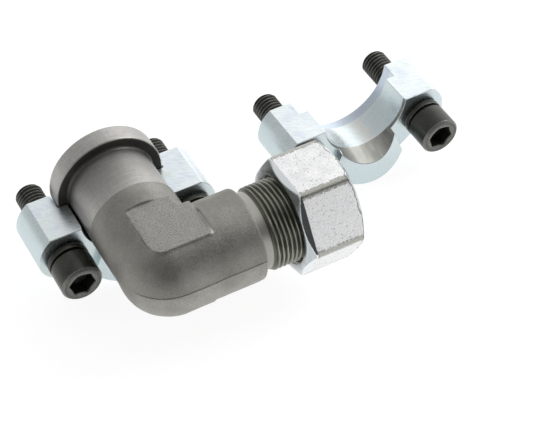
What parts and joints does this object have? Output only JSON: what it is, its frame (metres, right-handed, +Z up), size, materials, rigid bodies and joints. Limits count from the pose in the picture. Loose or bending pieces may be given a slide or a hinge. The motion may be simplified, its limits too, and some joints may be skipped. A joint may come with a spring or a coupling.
{
  "type": "hydraulic flange elbow",
  "caption": "Right-angle hydraulic elbow: split flange head with clamping halves, screws and seal at one end, cone with cutting ring and union nut at the other.",
  "frame": {"origin": "centre of the bounding box on the surface that the clamping halves stand on", "axes": "+X along the nut and out of the tube socket, +Y out of the flange head's sealing face, +Z up"},
  "size_m": [0.1954, 0.104, 0.0583],
  "materials": {
    "phosphated_steel": "forged and phosphated, matt grey",
    "zinc": "zinc plated, satin",
    "ring_steel": "hardened and polished",
    "black_steel": "black oxide, oiled",
    "rubber": "matt black"
  },
  "bodies": {
    "fitting": {"elbow_body": "phosphated_steel", "o_ring": "rubber", "flange_half_seated": "zinc", "flange_half_loose": "zinc", "cap_screw_seated_left": "black_steel", "cap_screw_seated_right": "black_steel", "cap_screw_loose_left": "black_steel", "cap_screw_loose_right": "black_steel", "spring_washer_seated_left": "black_steel", "spring_washer_seated_right": "black_steel", "spring_washer_loose_left": "black_steel", "spring_washer_loose_right": "black_steel"},
    "ring": {"cutting_ring": "ring_steel"},
    "nut": {"union_nut": "zinc"}
  },
  "joints": [
    {"name": "ring_slide", "type": "slide", "parent": "fitting", "child": "ring", "axis": [1, 0, 0], "range_m": [-0.0017, 0]},
    {"name": "nut_turn", "type": "hinge", "parent": "ring", "child": "nut", "pos_m": [0.009, -0.02624, 0.0345], "axis": [1, 0, 0], "range_deg": [-300, 0]}
  ],
  "couplings": [
    {"joint": "ring_slide", "follows": "nut_turn", "m_per_rad": 0.00031831}
  ]
}
